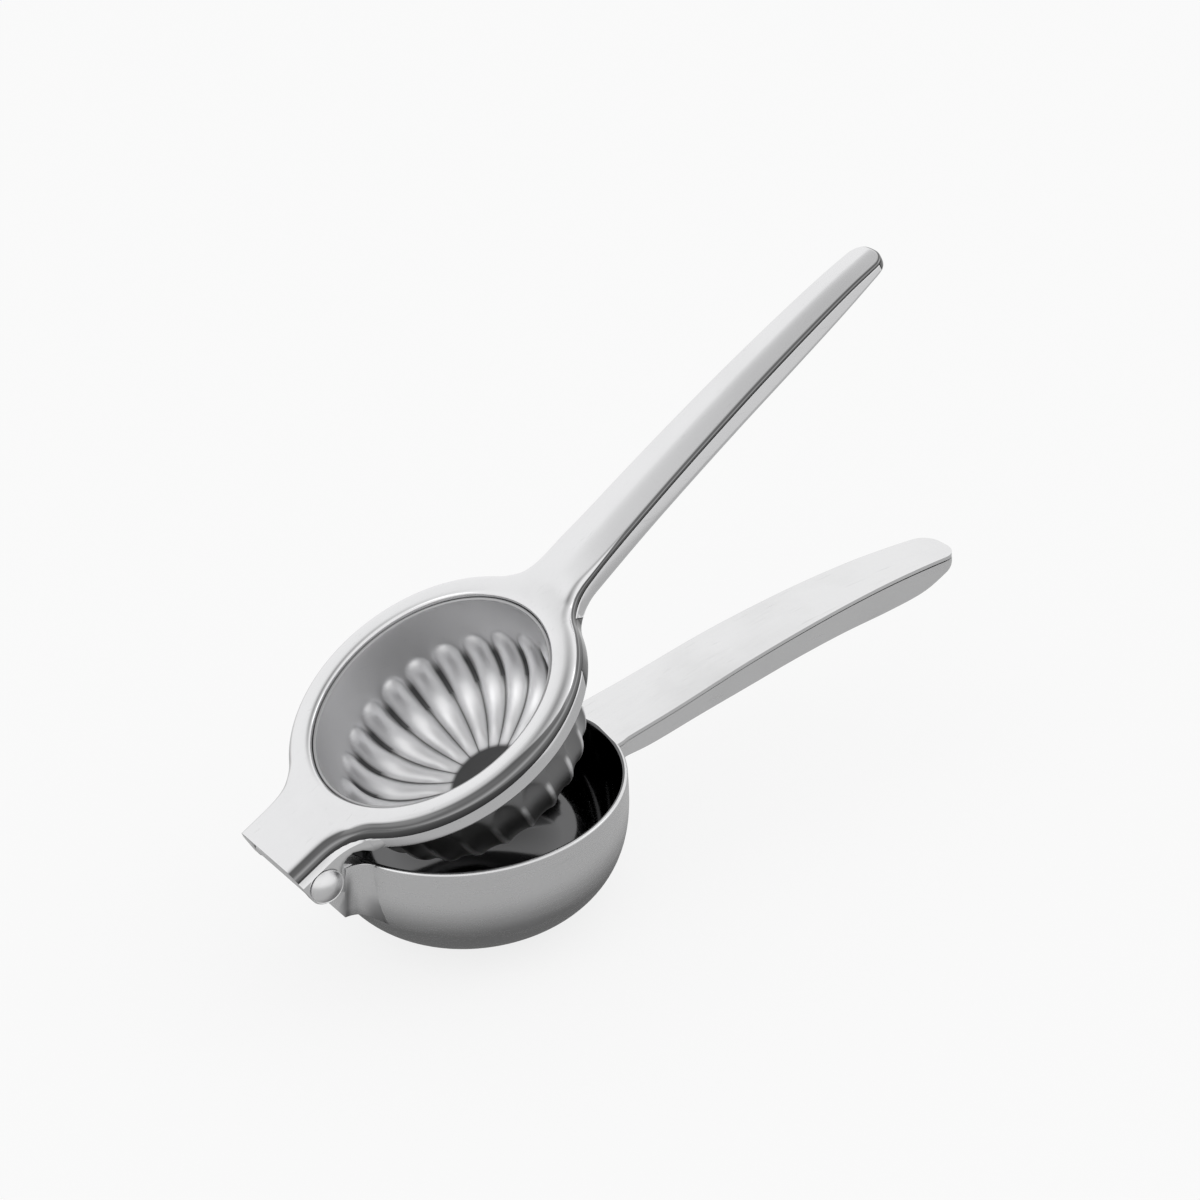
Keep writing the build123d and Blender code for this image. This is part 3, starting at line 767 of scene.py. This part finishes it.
def cupWall():  # (radius, height, inward r, inward z) from rim to floor
    s = pressCup
    wall = [(s["radius"], z, -1.0, 0.0) for z in (s["rim"] - s["sheet"] / 2, *s["wallHeights"])]
    curve = fullCurve(s["radius"], s["disc"], s["straight"] - s["floor"], s["fullness"],
                      spread(0, 1, s["fineSteps"]))
    fine = [(r, s["straight"] - drop) for r, drop in curve]
    run = runLengths(fine)
    for goal in spread(0, run[-1], s["beltRings"]):
        i = min(range(len(run)), key=lambda j: abs(run[j] - goal))
        wall.append((*fine[i], *inwardAt(fine, i, 2)))
    return wall + [(r, s["floor"], 0.0, 1.0) for r in s["floorRings"]]


# lateral, past and left: distances from a bar's middle, past its top and left to its foot

def barKeep(lateral, past, across):  # 1 on a bar's middle line, 0 at its edge
    return 1 - (math.hypot(lateral, max(-past, 0.0) * pressCup["topSlope"]) / across) ** 2


def barHeight(lateral, past, left, pitch):
    s = pressCup
    across = min(s["barHalf"], s["barShare"] * pitch)
    keep = barKeep(lateral, past, across)
    rounded = (keep + math.sqrt(keep * keep + s["fillet"] ** 2)) / 2 if keep > -1 else 0.0
    return s["barRise"] * across / s["barHalf"] * rounded ** s["barPower"] * ramp(left, 0, s["fade"])


def barPaintedShading(lateral, past, left, pitch):  # painted shade and highlight: 0 in grooves and floor, 0.5 on the wall, 1 on the bars
    s = pressCup
    keep = barKeep(lateral, past, min(s["barHalf"], s["paintedLightShare"] * pitch))
    crest = max(keep, 0.0) ** s["paintedLightPower"] * ramp(left, *s["paintedLightFoot"])
    wall = s["wallPaintedShading"] * (1 - ramp(past, *s["wallSpan"]))
    return wall + (1 - wall) * crest


def seamPaintedLight(lateral, past, left, pitch):  # outside: painted light along the seams between bars, painted shade on the rest
    s = pressCup
    seam = ramp(lateral / pitch, *s["seamShare"]) * ramp(past, *s["seamTop"]) * ramp(left, *s["seamFoot"])
    return s["outsidePaintedShade"] + s["seamPaintedLight"] * seam


def makeCup():
    s = pressCup
    wall = cupWall()
    run = runLengths(wall)
    start = next(q for q, w in zip(run, wall) if w[1] <= s["barTop"])
    end = next(q for q, w in zip(run, wall) if w[0] <= s["barFoot"])
    count = s["flutes"] * s["perFlute"]
    turns = [math.tau * i / count for i in range(count)]

    def cupSpot(r, turn, z):
        return reach + r * math.cos(turn), r * math.sin(turn), z

    inside, outside, cupPaintedShading = [], [], {}
    for q, (r, z, nr, nz) in zip(run, wall):
        pitch = math.tau * r / s["flutes"]
        inner, outer = [], []
        for i, turn in enumerate(turns):
            slip = (i % s["perFlute"]) / s["perFlute"]
            bar = (min(slip, 1 - slip) * pitch, q - start, end - q, pitch)
            high = barHeight(*bar)
            dent = s["dentShare"] * high - s["sheet"]
            inner.append(cupSpot(r + nr * high, turn, z + nz * high))
            outer.append(cupSpot(r + nr * dent, turn, z + nz * dent))
            cupPaintedShading[spotKey(inner[-1])] = barPaintedShading(*bar)
            cupPaintedShading[spotKey(outer[-1])] = seamPaintedLight(*bar)
        inside.append(inner)
        outside.append(outer)
    half = s["sheet"] / 2
    rim = [[cupSpot(s["radius"] + half - half * math.cos(a), turn, s["rim"] - half + half * math.sin(a))
            for turn in turns] for a in spread(0, math.pi, s["rimSteps"])[1:-1]]
    piece = drawTube("pressCup", inside[::-1] + rim + outside)
    # the painted light and shade that the cup's finish reads
    markPoints(piece, "polishAndPaintedShading", lambda co: cupPaintedShading.get(spotKey(co), s["rimPaintedShading"]))
    seat(piece, "press_lever", ["press_cup"], metals["cupSteel"], angle=60)


makeCup()

# strainer bowl

strainerBowl = {"radius": 41.69, "wall": 1.5, "depth": 37.0, "rim": 0.2, "fullness": 2.9, "base": 12.0,
                "rimRound": 0.7, "rimSteps": 5, "wallSteps": 40, "wallEase": 1.35, "floorSteps": 5,
                "steps": 128, "drain": 1.5, "drainRings": ((4.5, 6), (9.0, 12))}


def bowlLine(inset, steps):  # (radius, height) down the wall, set in by part of its thickness
    s = strainerBowl
    shares = [(i / steps) ** s["wallEase"] for i in range(steps + 1)]
    line = [(r, -drop) for r, drop in fullCurve(s["radius"], s["base"], s["depth"], s["fullness"], shares)]
    moved = []
    for i, (r, z) in enumerate(line):
        nr, nz = inwardAt(line, i, 1)
        if i == 0:
            nr, nz = -1.0, 0.0
        if i == steps:
            nr, nz = 0.0, 1.0
        moved.append((r + nr * inset, s["rim"] + z + nz * inset))
    return moved


bowlOutside = bowlLine(0, strainerBowl["wallSteps"])


def bowlFloor(edge):
    return [(edge[0] * t, edge[1]) for t in spread(0, 1, strainerBowl["floorSteps"])]


def makeBowl():
    s = strainerBowl
    inner = bowlLine(s["wall"], s["wallSteps"])
    profile = bowlFloor(bowlOutside[-1]) + bowlOutside[-2:0:-1]
    for edge, side, turns in ((s["radius"], -1, (0, 90)), (s["radius"] - s["wall"], 1, (90, 0))):
        for a in spread(*turns, s["rimSteps"]):
            c, d = around(a)
            profile.append((edge + side * s["rimRound"] * (1 - c), s["rim"] - s["rimRound"] * (1 - d)))
    profile += [p for p in inner[1:-1] if p[1] < s["rim"] - s["rimRound"] - 0.1] + bowlFloor(inner[-1])[::-1]
    profile = [p for i, p in enumerate(profile) if i == 0 or math.dist(p, profile[i - 1]) > 0.02]
    piece = drawTurned("strainerBowl", [(reach + r, 0, z) for r, z in profile], (reach, 0, 0), (0, 0, 1),
                       s["steps"])
    drills = []
    for radius, count in s["drainRings"]:
        for i in range(count):
            x, y = around(360 * i / count, radius, (reach, 0))
            drills.append(begin("drill", bpy.ops.mesh.primitive_cylinder_add, vertices=24, radius=s["drain"],
                                depth=16, location=(x, y, s["rim"] - s["depth"])))
    clearSelection()
    for drill in drills:
        drill.select_set(True)
    bpy.ops.object.join()
    cutAway(piece, bpy.context.object)
    middle = bowlLine(s["wall"] / 2, s["wallSteps"])

    # 1 on the inner side of the bowl's wall, which is painted dark as painted shade
    def insideShare(co):
        half = next((r for r, z in middle if z <= co.z), 0.0)
        return 1.0 if math.hypot(co.x - reach, co.y) < half else 0.0

    markPoints(piece, "inside", insideShare)
    seat(piece, "bowl_lever", ["strainer_bowl"], metals["bowlSteel"], angle=35)


makeBowl()

# hinge tongue

hingeTongue = {"top": 0.2, "foot": -14.0, "rootFoot": -20.0, "half": 12.4, "frontTop": 7.4, "frontFoot": 5.3,
               "blend": 6.0, "lap": 0.04, "sink": 0.9, "edge": 0.8, "straightSteps": 4, "blendSteps": 12,
               "rows": 6, "knuckle": 4.8, "knuckleHalf": 11.9, "knuckleTurn": (-180, 20), "knuckleSteps": 26,
               "knuckleBack": ((10.0, 0.0), (10.0, -8.8)), "knuckleFoot": 155, "bore": 2.56,
               "hollowInset": 0.7, "hollowSteps": 24, "hollowTop": 12.0,
               # painted shade: darker along the front corners and low in the blend
               "cornerPaintedShade": 0.7, "cornerBand": (-0.7, -0.2), "cornerDepth": (0.5, 2.4),
               "cornerDrop": (1.0, 7.0), "lowPaintedShade": 0.6, "lowDrop": (8.0, 14.5), "lowSpan": (9.5, 13.5)}


def bowlRadius(z):
    for (r0, z0), (r1, z1) in zip(bowlOutside, bowlOutside[1:]):
        if z1 <= z:
            return r0 + (r1 - r0) * min(max((z - z0) / (z1 - z0), 0.0), 1.0)
    return bowlOutside[-1][0]


def tongueSide(station, t, z):  # (x, half width) of the tongue's side at a height
    s = hingeTongue
    size = bowlRadius(z) - s["lap"]
    across = s["half"] + s["blend"]
    startX = reach - math.sqrt((size + s["blend"]) ** 2 - across ** 2)
    front = s["frontFoot"] + (s["frontTop"] - s["frontFoot"]) * t
    if station <= s["straightSteps"]:
        return front + (startX - front) * station / s["straightSteps"], s["half"]
    last = math.atan2(reach - startX, across)
    turn = last * min((station - s["straightSteps"]) / s["blendSteps"], 1.0)
    x = startX + s["blend"] * math.sin(turn)
    y = across - s["blend"] * math.cos(turn)
    if station > s["straightSteps"] + s["blendSteps"]:
        k = 1 - s["sink"] / size
        x, y = reach - (reach - x) * k, y * k
    return x, y


# painted shade on the tongue's front corners and low in its blend
def tonguePaintedShade(co):
    s = hingeTongue
    front = s["frontFoot"] + (s["frontTop"] - s["frontFoot"]) * ramp(co.z, s["foot"], s["top"])
    corner = ramp(abs(co.y) - s["half"], *s["cornerBand"]) * (1 - ramp(co.x - front, *s["cornerDepth"]))
    low = ramp(-co.z, *s["lowDrop"]) * ramp(co.x, *s["lowSpan"])
    return max(s["cornerPaintedShade"] * corner * ramp(-co.z, *s["cornerDrop"]), s["lowPaintedShade"] * low)


def makeTongue():
    s = hingeTongue
    loops = []
    last = s["straightSteps"] + s["blendSteps"] + 1
    for station in range(last + 1):
        foot = s["foot"] + (s["rootFoot"] - s["foot"]) * ramp(station, 0, last)
        rows = []
        for t in spread(0, 1, s["rows"]):
            z = foot + (s["top"] - foot) * t
            rows.append((*tongueSide(station, t, z), z))
        (footX, footHalf, footZ), (topX, topHalf, topZ) = rows[0], rows[-1]
        loop = [(x, -half, z) for x, half, z in rows]
        loop += [(topX, y, topZ) for y in spread(-topHalf, topHalf, s["rows"])[1:-1]]
        loop += [(x, half, z) for x, half, z in rows[::-1]]
        loop += [(footX, y, footZ) for y in spread(footHalf, -footHalf, s["rows"])[1:-1]]
        loops.append(loop)
    block = drawTube("hingeTongue", loops)
    roundEdges(block, s["edge"], 3, 50)
    half = s["knuckleHalf"]
    side = [around(a, s["knuckle"])[::-1] for a in spread(*s["knuckleTurn"], s["knuckleSteps"])]
    side += [*s["knuckleBack"], around(s["knuckleFoot"], s["knuckle"])[::-1]]
    knuckle = drawTube("knuckle", [[(x, y, z) for x, z in side] for y in spread(-half, half, 3)])
    cutAway(block, knuckle, "UNION")
    mergePoints(block)
    boreAcross(block, s["bore"])
    core = bowlLine(s["hollowInset"], s["hollowSteps"])
    profile = [(0, core[-1][1])] + core[::-1] + [(core[0][0], s["hollowTop"]), (0, s["hollowTop"])]
    hollow = drawTurned("bowlHollow", [(reach + r, 0, z) for r, z in profile], (reach, 0, 0), (0, 0, 1),
                        strainerBowl["steps"])
    cutAway(block, hollow)
    mergePoints(block)
    leaveEdit()
    # the tongue's painted shade, stored in the same mask as the bowl's dark inside
    markPoints(block, "inside", tonguePaintedShade)
    seat(block, "bowl_lever", ["hinge_tongue"], metals["bowlSteel"], angle=30)


makeTongue()

# bowl handle

bowlGrip = {
    "tip": 216.0, "tipRound": 5.5, "cover": 1.2, "sheet": 1.2, "foot": 2.2, "edge": 0.28, "gap": 0.08,
    "crown": 0.3, "crownHalf": 10.0, "crownMost": 1.2, "crownSpan": (96, 115),
    "weld": 41.1, "weldSpan": (93.2, 104), "rootFlare": 1.5, "flareSpan": (91.5, 96.6),
    "rootStations": (93.2, 93.7, 94.3, 95.2, 96.6, 98.5), "bodyStart": 101, "bodySteps": 38,
    "behind": 3.0, "behindSpan": (104, 210), "cornerSteps": 9, "cornerPace": 0.2, "endSteps": 3,
    "endPace": 0.3, "coverSteps": 6, "flatSteps": 4, "curveSteps": 5,
    "half": ((92, 11.2), (120, 10.75), (150, 10.0), (185, 8.6), (216, 6.9)),
    "top": ((90, 0.2), (94, 0.3), (103, 1.5), (119.5, 4.0), (137, 6.6), (154.5, 8.4), (172, 9.6),
            (190, 10.0), (207, 9.4), (219, 8.4)),
    "under": ((90, -6.4), (95, -6.4), (103, -6.3), (119.5, -4.4), (137, -2.7), (154.5, -1.1), (172, -0.3),
              (190, -0.4), (203, 0.2), (211, 2.7), (219, 6.4))}


def gripPath():  # rungs from the bowl's wall to the tip, near half
    s = bowlGrip
    cornerX = s["tip"] - s["tipRound"]
    wallX = reach + s["weld"]
    path = []
    for x in [*s["rootStations"], *spread(s["bodyStart"], cornerX, s["bodySteps"])]:
        half = soft(s["half"], x) + s["rootFlare"] * (1 - ramp(x, *s["flareSpan"])) ** 2
        ahead = soft(s["half"], x + 1) - soft(s["half"], x)
        size = math.hypot(1, ahead)
        if x < s["weldSpan"][1]:
            inner = wallX + (x - wallX) * ramp(x, *s["weldSpan"])
        else:
            inner = x - s["behind"] * ramp(x, *s["behindSpan"])
        start = reach + math.sqrt(s["weld"] ** 2 - half ** 2)  # the first rung starts on the wall
        path.append(((inner, 0), (x if path else start, -half), (-ahead / size, -1 / size)))
    cornerY = half - s["tipRound"]
    for a in spread(-90, 0, s["cornerSteps"])[1:]:
        inner += s["cornerPace"]
        path.append(((inner, 0), around(a, s["tipRound"], (cornerX, -cornerY)), around(a)))
    for y in spread(-cornerY, 0, s["endSteps"])[1:]:
        inner += s["endPace"]
        path.append(((inner, 0), (s["tip"], y), (1, 0)))
    return path


def gripTop(x, y):
    s = bowlGrip
    across = min(abs(y) / s["crownHalf"], s["crownMost"])
    return soft(s["top"], x) - s["crown"] * ramp(x, *s["crownSpan"]) * across ** 2


def makeGrip():
    s = bowlGrip
    path = gripPath()
    rungs = []
    for inner, spot, out in path:
        spots = [between(inner, spot, t) for t in spread(0, 1, s["coverSteps"])]
        rungs.append([(x, y, gripTop(x, y)) for x, y in spots])
    cover = drawStrip("bowlHandleCover", rungs)
    finishSheet(cover, s["cover"] - s["gap"], s["edge"], (0, 0, 1), lambda co: True)
    seat(cover, "bowl_lever", ["bowl_handle_cover"], metals["gripSteel"])
    rungs = shellRungs(path, s["flatSteps"], s["curveSteps"], lambda x: s["foot"],
                       lambda x, y: soft(s["under"], x),
                       lambda x: gripTop(x, s["crownHalf"]) - s["cover"] - s["gap"], -1)
    trough = drawStrip("bowlHandleTrough", rungs)
    finishSheet(trough, s["sheet"], s["edge"], (0, 0, -1), lambda co: abs(co.y) < 3)
    seat(trough, "bowl_lever", ["bowl_handle_trough"], metals["gripSideSteel"])


makeGrip()
print("pieces made")

# studio

studio = {"floor": 60.0, "floorColour": (0.9, 0.9, 0.9, 1), "white": (1, 1, 1, 1), "worldDiffuse": 0.8,
          "floorShare": 0.8, "aim": (0.02, 0.0, 0.06),
          # place, size, power
          "lamps": (((-0.5, 1.4, 2.0), 1.5, 1.0), ((1.5, -0.7, 1.3), 1.0, 2.0),
                    ((-1.5, 0.1, 1.0), 0.9, 1.0)),
          # place, size, shade in the middle and at the edge, where the change starts and ends
          "cards": {"overheadCard": ((0.0, 0.2, 1.3), (2.4, 2.4), (0.35, 1.0), (0.05, 0.5)),
                    "floorCard": ((-0.545, -0.69, 0.0003), (1.31, 1.5), (0.48, 0.48), (0.9, 1.0)),
                    "gripCard": ((0.26, -0.045, 0.0003), (0.3, 0.21), (0.48, 0.48), (0.9, 1.0)),
                    "sideCard": ((0.5, -0.5, 0.0003), (0.78, 0.7), (0.72, 0.72), (0.9, 1.0)),
                    # footCard is a painted shadow under the bowl, dark in the middle, seen only in
                    # reflections
                    "footCard": ((0.0, 0.0, 0.0006), (0.13, 0.13), (0.14, 0.48), (0.32, 0.5))}}


def seenRays(tree):  # 1 for camera, glossy and transmission rays
    path = addNode(tree, "LightPath", (-800, 200))
    seen = pairUp(tree, "MAXIMUM", (path, "Is Camera Ray"), (path, "Is Glossy Ray"))
    return pairUp(tree, "MAXIMUM", seen, (path, "Is Transmission Ray"))


def makeWorld():
    world = bpy.data.worlds.new("studioWorld")
    bpy.context.scene.world = world
    world.use_nodes = True
    tree = world.node_tree
    tree.nodes.clear()
    out = addNode(tree, "OutputWorld", (400, 0))
    mix = addNode(tree, "MixShader", (200, 0))
    dim = addNode(tree, "Background", (0, 100), Color=studio["white"], Strength=studio["worldDiffuse"])
    white = addNode(tree, "Background", (0, -100), Color=studio["white"], Strength=1.0)
    link(tree, (*seenRays(tree), mix, "Fac"), (dim, 0, mix, 1), (white, 0, mix, 2), (mix, 0, out, "Surface"))


def makeFloor():
    material, tree, out = newMaterial("studioFloor", (400, 0))
    mix = addNode(tree, "MixShader", (200, 0))
    matt = addNode(tree, "BsdfDiffuse", (0, 100), Color=studio["floorColour"])
    white = addNode(tree, "Emission", (0, -100), Color=studio["white"], Strength=1.0)
    share = addNode(tree, "Math", (-200, 200), operation="MULTIPLY")
    share.inputs[1].default_value = studio["floorShare"]
    link(tree, (*seenRays(tree), share, 0), (share, 0, mix, "Fac"), (matt, 0, mix, 1), (white, 0, mix, 2),
         (mix, 0, out, "Surface"))
    clearSelection()
    bpy.ops.mesh.primitive_plane_add(size=studio["floor"])
    floor = bpy.context.object
    floor.name = "studioFloor"
    floor.data.materials.append(material)


def makeCards():  # dark and grey cards that only reflections see
    for name, (spot, size, shade, change) in studio["cards"].items():
        material, tree, out = newMaterial(name, (200, 0))
        glow = addNode(tree, "Emission", (0, 0), Color=studio["white"])
        where = addNode(tree, "TexCoord", (-600, 0))
        middle = addNode(tree, "VectorMath", (-400, 0), operation="LENGTH")
        fade = addRange(tree, (-200, 0), *change, *shade)
        link(tree, (where, "Object", middle, 0), (middle, "Value", fade, "Value"),
             (fade, "Result", glow, "Strength"), (glow, 0, out, "Surface"))
        clearSelection()
        bpy.ops.mesh.primitive_plane_add(size=1, location=spot)
        card = bpy.context.object
        card.name = name
        card.scale = (*size, 1)
        card.data.materials.append(material)
        card.visible_camera = card.visible_diffuse = card.visible_shadow = False


def makeLamps():
    for i, (spot, size, power) in enumerate(studio["lamps"]):
        clearSelection()
        bpy.ops.object.light_add(type="AREA", location=spot)
        lamp = bpy.context.object
        lamp.name = f"softLamp{i}"
        lamp.data.size = size
        lamp.data.energy = power
        lamp.visible_glossy = i > 0
        lamp.rotation_euler = (Vector(studio["aim"]) - Vector(spot)).to_track_quat("-Z", "Y").to_euler()


photoCamera = {"spot": (-0.30473, -0.53849, 0.44084), "right": (0.81163, -0.57934, -0.07493),
               "up": (0.34214, 0.36746, 0.86482), "lens": 85, "sensor": 36}


def makeCamera():
    s = photoCamera
    clearSelection()
    bpy.ops.object.camera_add()
    camera = bpy.context.object
    camera.name = "photoCamera"
    right = Vector(s["right"])
    back = right.cross(Vector(s["up"])).normalized()
    up = back.cross(right).normalized()
    rows = [[right[i], up[i], back[i], s["spot"][i]] for i in range(3)]
    camera.matrix_world = Matrix(rows + [[0, 0, 0, 1]])
    camera.data.lens = s["lens"]
    camera.data.sensor_width = s["sensor"]
    camera.data.dof.use_dof = False
    bpy.context.scene.camera = camera


makeWorld()
makeFloor()
makeCards()
makeLamps()
makeCamera()
bpy.context.scene.view_settings.view_transform = "Standard"
print("studio set")
